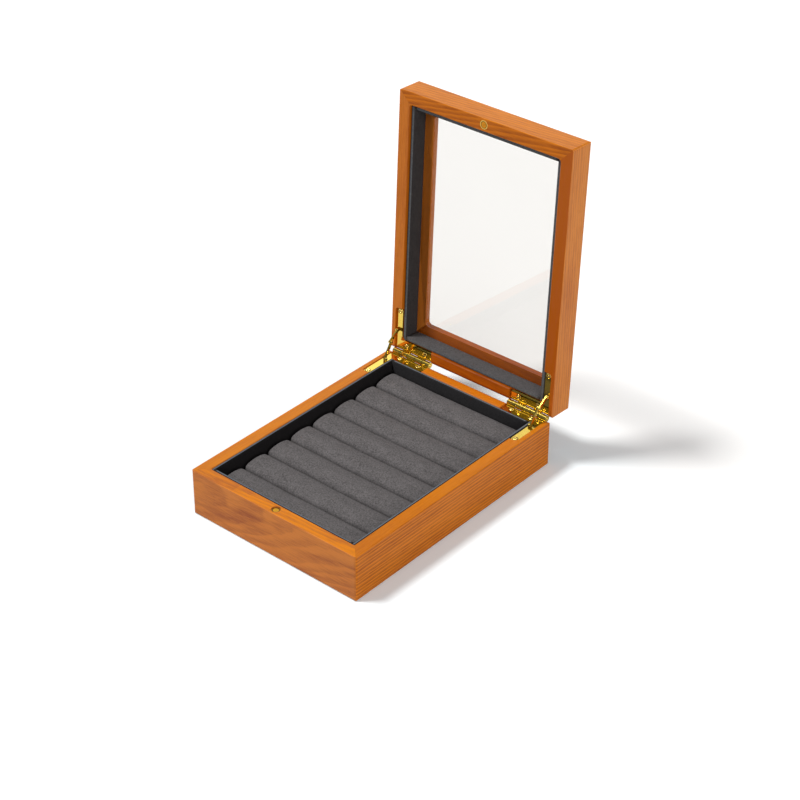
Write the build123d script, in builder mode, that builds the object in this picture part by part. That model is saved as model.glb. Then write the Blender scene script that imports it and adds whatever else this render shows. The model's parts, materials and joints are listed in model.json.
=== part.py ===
from build123d import *

import os
from math import asin, atan2, cos, degrees, hypot, radians, sin, sqrt

# A wooden jewellery box with a glazed lid, standing open on its two stay hinges.
# Millimetres. X runs along the front edge, Y towards the hinges and Z up.
# The origin is the middle of the underside of the base.
# The lid is drawn at its closed place in a frame of its own, and that frame is swung open.

# Case
box_width = 130.0
box_depth = 180.0
base_height = 31.6
lid_height = 18.2
rim_gap = 0.2
wall = 8.4
corner_radius = 1.6
foot_radius = 1.4
lid_top_radius = 1.8
rear_radius = 3.0
arris_radius = 0.5
inner_arris = 0.4
base_inner_radius = 0.5
lid_inner_radius = 2.2

# Underside panel, let into a rabbet in the four walls
panel_thickness = 3.0
rabbet_depth = 4.0
panel_clearance = 0.2

# Cloth-covered lining of the base, and the padded rolls that stand on their board
base_liner_thickness = 2.0
base_liner_drop = 0.1
base_liner_radius = 0.8
board_thickness = 2.0
soft_clearance = 0.3
roll_count = 8
roll_top_drop = 5.8
roll_crown_radius = 14.5
roll_shoulder_radius = 3.0
roll_gap = 0.4
roll_end_gap = 1.8
roll_foot_radius = 4.0
roll_end_radius = 1.8

# Window in the lid: a pane lies on the wooden lip, held down by the cloth-covered strips
lid_liner_thickness = 3.0
lid_liner_drop = 1.6
lid_liner_radius = 1.0
glass_depth = 12.0
glass_thickness = 2.0
glass_clearance = 0.3
lip_overhang = 8.8
window_corner_radius = 2.5

# Magnet catch in the middle of the front rims
magnet_radius = 2.8
magnet_thickness = 2.0
magnet_clearance = 0.1
base_magnet_recess = 0.7
lid_magnet_recess = 0.1

# Side-rail hinges: a wing on the back wall and a rail along the side wall make one leaf
open_angle = 92.6
axis_behind_back = 0.6
leaf_thickness = 1.2
base_leaf_recess = 0.7
lid_leaf_recess = 1.5
leaf_width = 30.1
leaf_front_gap = 0.3
leaf_corner_radius = 3.0
rail_inset = 0.4
rail_width = 4.8
rail_reach = 31.3
pocket_clearance = 0.3
knuckle_count = 5
knuckle_gap = 0.3
barrel_clearance = 0.35
pin_radius = 0.7
pin_clearance = 0.05
pin_overhang = 0.3

# Wood screws, seated flush in the leaves
wing_screw_inset = 8.9
wing_screw_spacing = 15.1
screw_head_radius = 1.9
screw_shank_radius = 0.8
screw_length = 7.0
screw_tip_length = 1.2
screw_fit = 0.05

# Folding stay: two links with a knee between them, each on an ear of its own rail
base_pivot_reach = 13.0
lid_pivot_reach = 15.0
knee_bow = 1.9
link_thickness = 0.9
ear_thickness = 0.8
stay_gap = 0.1
stay_clearance = 0.15
ear_slot_width = 1.1
rivet_radius = 0.6
rivet_fit = 0.05
rivet_head_radius = 1.0
rivet_head_height = 0.35

# Sizes that follow
half_width = box_width / 2
half_depth = box_depth / 2
inner_width = box_width - 2 * wall
inner_depth = box_depth - 2 * wall
lid_low = base_height + rim_gap
axis_y = half_depth + axis_behind_back
axis_z = base_height + rim_gap / 2
back_wall_mid = half_depth - wall / 2
rail_in = inner_width / 2 + rail_inset
rail_out = rail_in + rail_width
rail_mid = rail_in + rail_width / 2
rail_end = axis_y - rail_reach
wing_in = rail_out - leaf_width
wing_front = inner_depth / 2 + leaf_front_gap
base_leaf_top = base_height - base_leaf_recess
lid_leaf_face = lid_low + lid_leaf_recess
barrel_radius = axis_z - (base_leaf_top - leaf_thickness)
knuckle_length = (leaf_width - (knuckle_count - 1) * knuckle_gap) / knuckle_count
link_width = lid_leaf_face - base_leaf_top - 2 * stay_clearance
link_end_radius = link_width / 2
stay_z = (lid_leaf_face + base_leaf_top) / 2
countersink_depth = screw_head_radius - screw_shank_radius
SIDES = {"left": -1, "right": 1}

os.makedirs("parts", exist_ok=True)


def swing(y, z):
    """Where a point of the closed lid stands when the lid is open, in the side view."""
    turn = radians(open_angle)
    ahead = y - axis_y
    above = z - axis_z
    return (
        axis_y + ahead * cos(turn) + above * sin(turn),
        axis_z - ahead * sin(turn) + above * cos(turn),
    )


lid_origin = swing(0, 0)
base_frame = Plane.XY
lid_frame = Plane(
    origin=(0, lid_origin[0], lid_origin[1]),
    x_dir=(1, 0, 0),
    z_dir=(0, sin(radians(open_angle)), cos(radians(open_angle))),
)


def side_view(frame, x):
    """Plane at x that shows the frame's Y and Z, facing along X."""
    return Plane(frame.from_local_coords((x, 0, 0)), x_dir=frame.y_dir, z_dir=frame.x_dir)


def front_view(frame):
    """Plane through the middle that shows the frame's X and Z, facing the front."""
    return Plane(frame.origin, x_dir=frame.x_dir, z_dir=-frame.y_dir)


def facing(frame, x, y, z, outward):
    """Plane at a point of the frame, with its normal along the frame's Z times outward."""
    return Plane(frame.from_local_coords((x, y, z)), x_dir=frame.x_dir, z_dir=frame.z_dir * outward)


def span(x_from, x_to, y_from, y_to):
    """A rectangle between two corners, in the sketch that is open."""
    with Locations(((x_from + x_to) / 2, (y_from + y_to) / 2)):
        Rectangle(abs(x_to - x_from), abs(y_to - y_from))


def save(part, name):
    part.label = name
    export_step(part, f"parts/{name}.step")


# Wooden rings: a block of the right outline, hollowed, pocketed and cut at its mitres


def outer_block(frame, low, height, low_radius, high_radius, rear_low_radius, rear_high_radius):
    """The plan, front and side outlines of a box half, each run through the others."""
    with BuildPart() as block:
        with BuildSketch(frame.offset(low)):
            RectangleRounded(box_width, box_depth, corner_radius)
        extrude(amount=height)
        with BuildSketch(front_view(frame)) as front:
            span(-half_width, half_width, low, low + height)
            fillet(front.vertices().group_by(Axis.Y)[0], low_radius)
            fillet(front.vertices().group_by(Axis.Y)[-1], high_radius)
        extrude(amount=box_depth, both=True, mode=Mode.INTERSECT)
        with BuildSketch(side_view(frame, 0)) as side:
            span(-half_depth, half_depth, low, low + height)
            fillet(side.vertices().sort_by_distance((-half_depth, low))[0], low_radius)
            fillet(side.vertices().sort_by_distance((-half_depth, low + height))[0], high_radius)
            fillet(side.vertices().sort_by_distance((half_depth, low))[0], rear_low_radius)
            fillet(side.vertices().sort_by_distance((half_depth, low + height))[0], rear_high_radius)
        extrude(amount=box_width, both=True, mode=Mode.INTERSECT)
    return block.part


def pocket_outline(side):
    """Plan of the recess for one leaf: open to the inside and to the back."""
    outer = rail_out + pocket_clearance
    with BuildSketch(mode=Mode.PRIVATE) as outline:
        span(side * (wing_in - pocket_clearance), side * outer, wing_front - leaf_front_gap, axis_y)
        span(side * (rail_in - rail_inset), side * outer, rail_end - pocket_clearance, axis_y)
        front_corner = (side * outer, rail_end - pocket_clearance)
        fillet(outline.vertices().sort_by_distance(front_corner)[0], rail_width / 2)
        inner_corner = (side * (wing_in - pocket_clearance), wing_front - leaf_front_gap)
        fillet(outline.vertices().sort_by_distance(inner_corner)[0], arris_radius)
    return outline.sketch


def screw_seats(frame, face, outward, side):
    """Planes on a leaf's face where its three screws sit."""
    wing_x = rail_out - wing_screw_inset
    places = (
        (wing_x, back_wall_mid),
        (wing_x - wing_screw_spacing, back_wall_mid),
        (rail_mid, rail_end + rail_width / 2),
    )
    return [facing(frame, side * x, y, face, outward) for x, y in places]


def hollow_ring(block, frame, rim, outward, inner_radius, leaf_face, magnet_recess):
    """Cut what both box halves have: the eased inner edge, pockets, screw and magnet holes."""
    pocket_depth = abs(leaf_face - rim) + leaf_thickness
    outlines = [pocket_outline(side) for side in SIDES.values()]
    with BuildPart() as ring:
        add(block)
        with BuildSketch(facing(frame, 0, 0, rim, -outward)):
            RectangleRounded(
                inner_width + 2 * inner_arris,
                inner_depth + 2 * inner_arris,
                inner_radius + inner_arris,
            )
        extrude(amount=inner_arris, taper=45, mode=Mode.SUBTRACT)
        with BuildSketch(frame.offset(rim)):
            add(outlines)
        extrude(amount=-outward * pocket_depth, mode=Mode.SUBTRACT)
        for side in SIDES.values():
            with Locations(screw_seats(frame, leaf_face, outward, side)):
                Cylinder(
                    screw_shank_radius + screw_fit,
                    screw_length + screw_fit,
                    align=(Align.CENTER, Align.CENTER, Align.MAX),
                    mode=Mode.SUBTRACT,
                )
        with Locations(facing(frame, 0, -back_wall_mid, rim, outward)):
            Cylinder(
                magnet_radius + magnet_clearance,
                magnet_recess + magnet_thickness,
                align=(Align.CENTER, Align.CENTER, Align.MAX),
                mode=Mode.SUBTRACT,
            )
    return ring.part


def mitre(frame, corner_x, corner_y, flip):
    """Plane of the 45 degree joint at one corner, facing the front or back wall, or flipped."""
    origin = frame.from_local_coords((corner_x * half_width, corner_y * half_depth, 0))
    normal = frame.x_dir * (-corner_x * flip) + frame.y_dir * (corner_y * flip)
    return Plane(origin, x_dir=frame.z_dir, z_dir=normal)


def cut_walls(ring, frame, group, kind):
    """Split a ring at its four mitres and save each wall."""
    ends = {"front": (-1, 1), "back": (1, 1), "left": (-1, -1), "right": (1, -1)}
    for place, (sign, flip) in ends.items():
        corners = [(-1, sign), (1, sign)] if flip == 1 else [(sign, -1), (sign, 1)]
        with BuildPart() as piece:
            add(ring)
            for corner_x, corner_y in corners:
                split(bisect_by=mitre(frame, corner_x, corner_y, flip), keep=Keep.TOP)
        save(piece.part, f"{group}_{place}_{kind}")


base_block = outer_block(base_frame, 0, base_height, foot_radius, arris_radius, foot_radius, rear_radius)
base_hollowed = hollow_ring(
    base_block, base_frame, base_height, 1, base_inner_radius, base_leaf_top, base_magnet_recess
)
with BuildPart() as base_ring:
    add(base_hollowed)
    with BuildSketch(base_frame):
        RectangleRounded(inner_width, inner_depth, base_inner_radius)
    extrude(amount=base_height, mode=Mode.SUBTRACT)
    with BuildSketch(base_frame):
        Rectangle(inner_width + 2 * rabbet_depth, inner_depth + 2 * rabbet_depth)
    extrude(amount=panel_thickness, mode=Mode.SUBTRACT)
cut_walls(base_ring.part, base_frame, "base", "wall")

lid_block = outer_block(
    lid_frame, lid_low, lid_height, arris_radius, lid_top_radius, rear_radius, lid_top_radius
)
lid_hollowed = hollow_ring(
    lid_block, lid_frame, lid_low, -1, lid_inner_radius, lid_leaf_face, lid_magnet_recess
)
lip_face = lid_low + glass_depth + glass_thickness
window_width = inner_width - 2 * lip_overhang
window_depth = inner_depth - 2 * lip_overhang
with BuildPart() as lid_ring:
    add(lid_hollowed)
    with BuildSketch(lid_frame.offset(lid_low)):
        RectangleRounded(inner_width, inner_depth, lid_inner_radius)
    extrude(amount=lip_face - lid_low, mode=Mode.SUBTRACT)
    with BuildSketch(lid_frame.offset(lip_face)):
        RectangleRounded(window_width, window_depth, window_corner_radius)
    extrude(amount=lid_height, mode=Mode.SUBTRACT)
cut_walls(lid_ring.part, lid_frame, "lid", "rail")

# Underside panel and the pane

with BuildPart() as panel:
    with BuildSketch(base_frame):
        Rectangle(
            inner_width + 2 * (rabbet_depth - panel_clearance),
            inner_depth + 2 * (rabbet_depth - panel_clearance),
        )
    extrude(amount=panel_thickness)
save(panel.part, "base_bottom_panel")

with BuildPart() as pane:
    with BuildSketch(lid_frame.offset(lid_low + glass_depth)):
        RectangleRounded(
            inner_width - 2 * glass_clearance, inner_depth - 2 * glass_clearance, lid_inner_radius
        )
    extrude(amount=glass_thickness)
save(pane.part, "lid_glass_pane")

# Magnets


def magnet(frame, rim, outward, recess, name):
    with BuildPart() as disc:
        with Locations(facing(frame, 0, -back_wall_mid, rim - outward * recess, outward)):
            Cylinder(magnet_radius, magnet_thickness, align=(Align.CENTER, Align.CENTER, Align.MAX))
    save(disc.part, name)


magnet(base_frame, base_height, 1, base_magnet_recess, "base_magnet")
magnet(lid_frame, lid_low, -1, lid_magnet_recess, "lid_magnet")

# Cloth-covered strips that line the walls


def liner_strip(frame, foot, edge, x_from, x_to, y_from, y_to, corner, radius, name):
    """A strip from its foot to its soft edge, with its ends rounded where it meets a wall corner."""
    upright = 1 if edge > foot else -1
    along_x = abs(x_to - x_from) > abs(y_to - y_from)
    run = frame.x_dir if along_x else frame.y_dir
    with BuildPart() as strip:
        with BuildSketch(frame.offset(foot)) as plan:
            span(x_from, x_to, y_from, y_to)
            if not along_x:
                fillet(plan.vertices().group_by(Axis.X)[-1 if x_to > 0 else 0], corner)
        extrude(amount=edge - foot)
        edge_axis = Axis(frame.origin, frame.z_dir * upright)
        soft_edges = strip.faces().sort_by(edge_axis)[-1].edges().filter_by(Axis(frame.origin, run))
        fillet(soft_edges, radius)
    save(strip.part, name)


def line_walls(frame, group, foot, edge, thickness, corner, radius):
    half_x = inner_width / 2
    half_y = inner_depth / 2
    clear_x = half_x - thickness
    clear_y = half_y - thickness
    for name, sign in SIDES.items():
        liner_strip(
            frame, foot, edge, sign * clear_x, sign * half_x, -half_y, half_y, corner, radius,
            f"{group}_{name}_liner",
        )
    for name, sign in {"front": -1, "back": 1}.items():
        liner_strip(
            frame, foot, edge, -clear_x, clear_x, sign * clear_y, sign * half_y, corner, radius,
            f"{group}_{name}_liner",
        )


line_walls(
    base_frame, "base", panel_thickness, base_height - base_liner_drop,
    base_liner_thickness, base_inner_radius, base_liner_radius,
)
line_walls(
    lid_frame, "lid", lid_low + glass_depth, lid_low + lid_liner_drop,
    lid_liner_thickness, lid_inner_radius, lid_liner_radius,
)

# Board and the padded rolls on it

bed_width = inner_width - 2 * base_liner_thickness
bed_depth = inner_depth - 2 * base_liner_thickness
board_top = panel_thickness + board_thickness
with BuildPart() as board:
    with BuildSketch(base_frame.offset(panel_thickness)):
        Rectangle(bed_width - 2 * soft_clearance, bed_depth - 2 * soft_clearance)
    extrude(amount=board_thickness)
save(board.part, "roll_board")

roll_pitch = bed_depth / roll_count
roll_half_width = (roll_pitch - roll_gap) / 2
roll_top = base_height - roll_top_drop
roll_half_length = bed_width / 2 - roll_end_gap
for index in range(roll_count):
    middle = (index + 0.5) * roll_pitch - bed_depth / 2
    with BuildPart() as roll:
        with BuildSketch(side_view(base_frame, 0)) as section:
            span(middle - roll_half_width, middle + roll_half_width, board_top, roll_top)
            with Locations((middle, roll_top - roll_crown_radius)):
                Circle(roll_crown_radius, mode=Mode.INTERSECT)
            fillet(section.vertices().group_by(Axis.Y)[-1], roll_shoulder_radius)
            fillet(section.vertices().group_by(Axis.Y)[0], roll_foot_radius)
        extrude(amount=roll_half_length, both=True)
        ends = roll.faces().sort_by(Axis.X)
        fillet(ends[0].edges() + ends[-1].edges(), roll_end_radius)
    save(roll.part, f"padded_roll_{index + 1}")

# Hinge leaves


def knuckle_span(side, index):
    """Where a knuckle starts and ends along X, counted from the wing's inner end."""
    start = wing_in + index * (knuckle_length + knuckle_gap)
    return side * start, side * (start + knuckle_length)


def rolled_knuckle(frame, side, index, web):
    """A ring round the pin with the web that joins it to its leaf, given in the side view."""
    start, end = knuckle_span(side, index)
    with BuildPart() as knuckle:
        with BuildSketch(side_view(frame, start)):
            with Locations((axis_y, axis_z)):
                Circle(barrel_radius)
            span(*web)
        extrude(amount=end - start)
        with BuildSketch(side_view(frame, start)):
            with Locations((axis_y, axis_z)):
                Circle(pin_radius + pin_clearance)
        extrude(amount=end - start, mode=Mode.SUBTRACT)
    return knuckle.part


def hinge_leaf(frame, side, face, outward, webs, ear_reach, ear_in, name):
    """One leaf: an L-shaped plate with rolled knuckles, countersunk holes and the stay's ear."""
    knuckles = [rolled_knuckle(frame, side, index, web) for index, web in webs.items()]
    ear_y = axis_y - ear_reach
    with BuildPart() as leaf:
        with BuildSketch(frame.offset(face)) as plan:
            span(side * wing_in, side * rail_out, wing_front, leaf_rear_edge)
            span(side * rail_in, side * rail_out, rail_end, leaf_rear_edge)
            wing_corner = (side * wing_in, wing_front)
            fillet(plan.vertices().sort_by_distance(wing_corner)[0], leaf_corner_radius)
            fillet(plan.vertices().group_by(Axis.Y)[0], rail_width / 2 - screw_fit)
        extrude(amount=-outward * leaf_thickness)
        slot_in = ear_in + ear_thickness if ear_in < rail_mid else ear_in - ear_slot_width
        with BuildSketch(frame.offset(face)):
            span(
                side * slot_in, side * (slot_in + ear_slot_width),
                ear_y - link_end_radius, ear_y + link_end_radius,
            )
        extrude(amount=-outward * leaf_thickness, mode=Mode.SUBTRACT)
        add(knuckles)
        with BuildSketch(side_view(frame, side * ear_in)):
            root = face - outward * leaf_thickness / 2
            span(ear_y - link_end_radius, ear_y + link_end_radius, root, stay_z)
            with Locations((ear_y, stay_z)):
                Circle(link_end_radius)
        extrude(amount=side * ear_thickness)
        with BuildSketch(side_view(frame, side * ear_in)):
            with Locations((ear_y, stay_z)):
                Circle(rivet_radius + rivet_fit)
        extrude(amount=side * ear_thickness, mode=Mode.SUBTRACT)
        with Locations(screw_seats(frame, face, outward, side)):
            CounterSinkHole(
                screw_shank_radius + screw_fit,
                screw_head_radius + screw_fit,
                counter_sink_angle=90,
                depth=leaf_thickness,
            )
    save(leaf.part, name)


# In the stay, counted outwards: base ear, lower link, upper link, lid ear
lower_link_in = rail_mid - stay_gap / 2 - link_thickness
upper_link_in = rail_mid + stay_gap / 2
base_ear_in = lower_link_in - stay_gap - ear_thickness
lid_ear_in = upper_link_in + link_thickness + stay_gap
leaf_rear_edge = axis_y - barrel_radius - barrel_clearance

web_front = leaf_rear_edge - leaf_thickness
base_web = (web_front, axis_y, base_leaf_top - leaf_thickness, base_leaf_top)
lid_web = (web_front, axis_y, lid_leaf_face, lid_leaf_face + leaf_thickness)
base_webs = {index: base_web for index in range(0, knuckle_count, 2)}
lid_webs = {index: lid_web for index in range(1, knuckle_count, 2)}

for place, side in SIDES.items():
    hinge_leaf(
        base_frame, side, base_leaf_top, 1, base_webs,
        base_pivot_reach, base_ear_in, f"{place}_hinge_base_leaf",
    )
    hinge_leaf(
        lid_frame, side, lid_leaf_face, -1, lid_webs,
        lid_pivot_reach, lid_ear_in, f"{place}_hinge_lid_leaf",
    )

# Hinge pins and screws

for place, side in SIDES.items():
    pin_start = wing_in - pin_overhang
    pin_length = leaf_width + 2 * pin_overhang
    with BuildPart() as pin:
        with BuildSketch(side_view(base_frame, side * pin_start)):
            with Locations((axis_y, axis_z)):
                Circle(pin_radius)
        extrude(amount=side * pin_length)
        chamfer(pin.edges().filter_by(GeomType.CIRCLE), pin_overhang)
    save(pin.part, f"{place}_hinge_pin")


def wood_screws(frame, face, outward, side, name):
    """Three countersunk screws, as separate solids of one node."""
    top = (Align.CENTER, Align.CENTER, Align.MAX)
    seats = screw_seats(frame, face, outward, side)
    tips = [seat.offset(screw_tip_length - screw_length) for seat in seats]
    with BuildPart() as screws:
        with Locations(seats):
            Cylinder(screw_shank_radius, screw_length - screw_tip_length, align=top)
            Cone(screw_shank_radius, screw_head_radius, countersink_depth, align=top)
        with Locations(tips):
            Cone(0, screw_shank_radius, screw_tip_length, align=top)
    save(screws.part, name)


for place, side in SIDES.items():
    wood_screws(base_frame, base_leaf_top, 1, side, f"{place}_hinge_base_screws")
    wood_screws(lid_frame, lid_leaf_face, -1, side, f"{place}_hinge_lid_screws")

# Stays: with the lid shut both links lie forwards along the rails, and their knees meet.
# With the lid open they reach from ear to ear, bowed forwards by knee_bow at the knee.

base_pivot = (axis_y - base_pivot_reach, stay_z)
lid_pivot = swing(axis_y - lid_pivot_reach, stay_z)
reach_y = lid_pivot[0] - base_pivot[0]
reach_z = lid_pivot[1] - base_pivot[1]
reach = hypot(reach_y, reach_z)
pivot_step = lid_pivot_reach - base_pivot_reach
squared_rest = reach**2 - pivot_step**2
knee_term = (2 * reach * knee_bow) ** 2 / squared_rest
upper_length = (sqrt(pivot_step**2 + squared_rest + knee_term) - pivot_step) / 2
lower_length = upper_length + pivot_step
lower_angle = degrees(atan2(reach_z, reach_y)) + degrees(asin(knee_bow / lower_length))
knee = (
    base_pivot[0] + lower_length * cos(radians(lower_angle)),
    base_pivot[1] + lower_length * sin(radians(lower_angle)),
)
upper_angle = degrees(atan2(knee[1] - lid_pivot[1], knee[0] - lid_pivot[0])) % 360
print("lid hinge axis", (0, axis_y, axis_z), "closing range", open_angle)
print("base pivot", base_pivot, "lid pivot", lid_pivot, "knee", knee)
print("links", lower_length, upper_length, "angles", lower_angle, upper_angle)
print("lower link turns", 180 - lower_angle, "upper link turns", 180 - upper_angle - open_angle)


def stay_link(side, start, length, pivot, angle, name):
    """A flat strip with round ends and a hole at each, from its pivot to the knee."""
    middle = (
        pivot[0] + length / 2 * cos(radians(angle)),
        pivot[1] + length / 2 * sin(radians(angle)),
    )
    with BuildPart() as link:
        with BuildSketch(side_view(base_frame, side * start)):
            with Locations(middle):
                SlotCenterToCenter(length, link_width, rotation=angle)
            with Locations(pivot, knee):
                Circle(rivet_radius + rivet_fit, mode=Mode.SUBTRACT)
        extrude(amount=side * link_thickness)
    save(link.part, name)


def rivet(side, start, end, head_at, head_towards, centre, name):
    """A shank from start to end with a domed head on the side that faces outwards."""
    with BuildPart() as stud:
        with BuildSketch(side_view(base_frame, side * start)):
            with Locations(centre):
                Circle(rivet_radius)
        extrude(amount=side * (end - start))
        with BuildSketch(side_view(base_frame, side * head_at)):
            with Locations(centre):
                Circle(rivet_head_radius)
        extrude(amount=side * head_towards * rivet_head_height, taper=30)
    save(stud.part, name)


lower_link_out = lower_link_in + link_thickness
upper_link_out = upper_link_in + link_thickness
lid_ear_out = lid_ear_in + ear_thickness
for place, side in SIDES.items():
    stay_link(
        side, lower_link_in, lower_length, base_pivot, lower_angle, f"{place}_stay_lower_link"
    )
    stay_link(side, upper_link_in, upper_length, lid_pivot, upper_angle, f"{place}_stay_upper_link")
    rivet(side, base_ear_in, lower_link_out, base_ear_in, -1, base_pivot, f"{place}_stay_base_rivet")
    rivet(side, upper_link_in, lid_ear_out, lid_ear_out, 1, lid_pivot, f"{place}_stay_lid_rivet")
    rivet(side, lower_link_in, lower_link_out, lower_link_in, -1, knee, f"{place}_stay_knee_rivet")
    rivet(side, upper_link_in, upper_link_out, upper_link_out, 1, knee, f"{place}_stay_knee_tail")
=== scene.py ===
import json
import math

import bmesh
import bpy
from mathutils import Matrix, Vector, noise


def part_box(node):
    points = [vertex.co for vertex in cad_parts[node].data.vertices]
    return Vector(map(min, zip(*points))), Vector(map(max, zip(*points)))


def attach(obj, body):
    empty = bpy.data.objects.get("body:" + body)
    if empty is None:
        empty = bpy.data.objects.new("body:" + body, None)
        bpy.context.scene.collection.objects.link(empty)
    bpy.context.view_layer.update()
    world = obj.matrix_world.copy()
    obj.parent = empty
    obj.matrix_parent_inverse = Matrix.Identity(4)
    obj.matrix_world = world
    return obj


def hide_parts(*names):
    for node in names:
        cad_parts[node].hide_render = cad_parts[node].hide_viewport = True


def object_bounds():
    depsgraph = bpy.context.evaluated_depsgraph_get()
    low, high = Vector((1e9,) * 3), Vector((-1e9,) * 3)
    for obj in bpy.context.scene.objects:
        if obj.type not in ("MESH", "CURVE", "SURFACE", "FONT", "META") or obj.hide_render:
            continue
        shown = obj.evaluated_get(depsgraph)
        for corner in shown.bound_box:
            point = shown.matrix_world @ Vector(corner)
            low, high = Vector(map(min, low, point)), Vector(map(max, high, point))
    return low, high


# A wooden jewellery box with a glazed lid, standing open on a white floor.
# Lengths are in metres unless a name ends in _mm or _MM. A matrix called closed takes a point
# of the shut box to where it is at rest: SHUT for the base, OPENED for the lid.

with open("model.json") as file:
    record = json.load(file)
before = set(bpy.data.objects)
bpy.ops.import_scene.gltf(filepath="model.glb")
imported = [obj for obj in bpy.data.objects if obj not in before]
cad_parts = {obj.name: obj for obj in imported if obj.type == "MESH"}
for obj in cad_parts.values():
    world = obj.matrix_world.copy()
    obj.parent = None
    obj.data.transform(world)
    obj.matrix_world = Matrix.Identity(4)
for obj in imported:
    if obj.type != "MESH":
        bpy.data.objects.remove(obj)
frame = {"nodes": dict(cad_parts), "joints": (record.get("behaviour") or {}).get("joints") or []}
cad_low, cad_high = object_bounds()
nodes = frame["nodes"]
MM = 0.001
SIDES = ("left", "right")

lid_joint = next(joint for joint in frame["joints"] if joint["name"] == "lid_hinge")
lid_axis = Vector(lid_joint["pos_m"])
open_angle = math.radians(max(lid_joint["range_deg"]))

SHUT = Matrix.Identity(4)
OPENED = (
    Matrix.Translation(lid_axis)
    @ Matrix.Rotation(-open_angle, 4, "X")
    @ Matrix.Translation(-lid_axis)
)
UP = Vector((0, 0, 1))
LID_UP = OPENED.to_3x3() @ UP


# Camera, found from the box's edges in the photograph

PHOTO_PX = 800
SENSOR_MM = 36.0
FOCAL_PX = 2032.28
CENTRE_PX = (381.13, 361.41)
CAMERA_TARGET = Vector((-0.00939, 0.01735, 0.07896))
CAMERA_DISTANCE = 1.21405
CAMERA_AZIMUTH = math.radians(41.1)
CAMERA_ELEVATION = math.radians(32.13)
CAMERA_ROLL = math.radians(-0.17)


def make_camera():
    level = math.cos(CAMERA_ELEVATION)
    back = Vector(
        (
            math.sin(CAMERA_AZIMUTH) * level,
            -math.cos(CAMERA_AZIMUTH) * level,
            math.sin(CAMERA_ELEVATION),
        )
    )
    right = UP.cross(back).normalized()
    up = back.cross(right)
    turned_right = right * math.cos(CAMERA_ROLL) + up * math.sin(CAMERA_ROLL)
    turned_up = up * math.cos(CAMERA_ROLL) - right * math.sin(CAMERA_ROLL)
    data = bpy.data.cameras.new("photo_camera")
    data.sensor_width = SENSOR_MM
    data.lens = FOCAL_PX * SENSOR_MM / PHOTO_PX
    data.shift_x = 0.5 - CENTRE_PX[0] / PHOTO_PX
    data.shift_y = CENTRE_PX[1] / PHOTO_PX - 0.5
    camera = bpy.data.objects.new("photo_camera", data)
    camera.matrix_world = Matrix((turned_right, turned_up, back)).transposed().to_4x4()
    camera.matrix_world.translation = CAMERA_TARGET + back * CAMERA_DISTANCE
    bpy.context.scene.collection.objects.link(camera)
    bpy.context.scene.camera = camera


# Material graphs

# Sockets of a mix node that belong to colours, since other kinds of value use the same names
MIX_FACTOR, MIX_FIRST, MIX_SECOND, MIX_RESULT = 0, 6, 7, 2


class Graph:
    """A node tree under construction. Values given as inputs are set, sockets are linked."""

    def __init__(self, tree):
        self.tree = tree
        tree.nodes.clear()

    def add(self, kind, inputs=None, output=0, **settings):
        node = self.tree.nodes.new(kind)
        for name, value in settings.items():
            setattr(node, name, value)
        for name, value in (inputs or {}).items():
            socket = node.inputs[name]
            if isinstance(value, bpy.types.NodeSocket):
                self.tree.links.new(value, socket)
            else:
                socket.default_value = value
        return node.outputs[output] if node.outputs else None

    def math(self, operation, first, second=0.0, third=0.0, clamp=False):
        return self.add(
            "ShaderNodeMath", {0: first, 1: second, 2: third}, operation=operation, use_clamp=clamp
        )

    def vector(self, operation, first, second=(0.0, 0.0, 0.0), output="Vector"):
        return self.add("ShaderNodeVectorMath", {0: first, 1: second}, output, operation=operation)

    def dot(self, first, second):
        return self.vector("DOT_PRODUCT", first, second, "Value")

    def place(self):
        """Where a point lies in the piece's own coordinates, in millimetres."""
        point = self.add("ShaderNodeTexCoord", output="Object")
        return self.vector("MULTIPLY", point, (1 / MM, 1 / MM, 1 / MM))

    def parts(self, vector):
        return self.add("ShaderNodeSeparateXYZ", {"Vector": vector}).node.outputs

    def noise(self, vector, scale, detail=2.0, roughness=0.5, output="Fac"):
        """Noise whose scale is the number of cells per unit along each axis."""
        inputs = {
            "Vector": self.vector("MULTIPLY", vector, scale),
            "Scale": 1.0,
            "Detail": detail,
            "Roughness": roughness,
        }
        return self.add("ShaderNodeTexNoise", inputs, output)

    def ramp(self, value, low, high, low_out=0.0, high_out=1.0):
        inputs = {
            "Value": value, "From Min": low, "From Max": high, "To Min": low_out, "To Max": high_out
        }
        return self.add("ShaderNodeMapRange", inputs, interpolation_type="SMOOTHSTEP")

    def swing(self, value, reach, start=0.0):
        """start plus noise that swings about zero by about half of reach."""
        return self.math("MULTIPLY_ADD", self.math("SUBTRACT", value, 0.5), reach, start)

    def blend(self, factor, first, second, how="MIX"):
        inputs = {MIX_FACTOR: factor, MIX_FIRST: first, MIX_SECOND: second}
        return self.add("ShaderNodeMix", inputs, MIX_RESULT, data_type="RGBA", blend_type=how)

    def tinted(self, tone, level):
        grey = self.add("ShaderNodeCombineXYZ", {0: level, 1: level, 2: level})
        return self.blend(1.0, tone, grey, "MULTIPLY")

    def bump(self, height, strength, distance):
        inputs = {"Strength": strength, "Distance": distance, "Height": height}
        return self.add("ShaderNodeBump", inputs)

    def facing(self, direction):
        """How squarely a surface faces along a direction of the object, either way."""
        normal = self.add("ShaderNodeTexCoord", output="Normal")
        return self.math("ABSOLUTE", self.dot(normal, direction))


def linear(value):
    """One channel of an sRGB colour, from 0 to 255, as the linear value that shaders take."""
    share = value / 255
    return share / 12.92 if share <= 0.04045 else ((share + 0.055) / 1.055) ** 2.4


def colour(red, green, blue):
    return (linear(red), linear(green), linear(blue), 1.0)


def dimmed(tone, share):
    return tuple(share * value for value in tone[:3]) + (1.0,)


def new_material(name):
    material = bpy.data.materials.new(name)
    material.use_nodes = True
    return material, Graph(material.node_tree)


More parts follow.
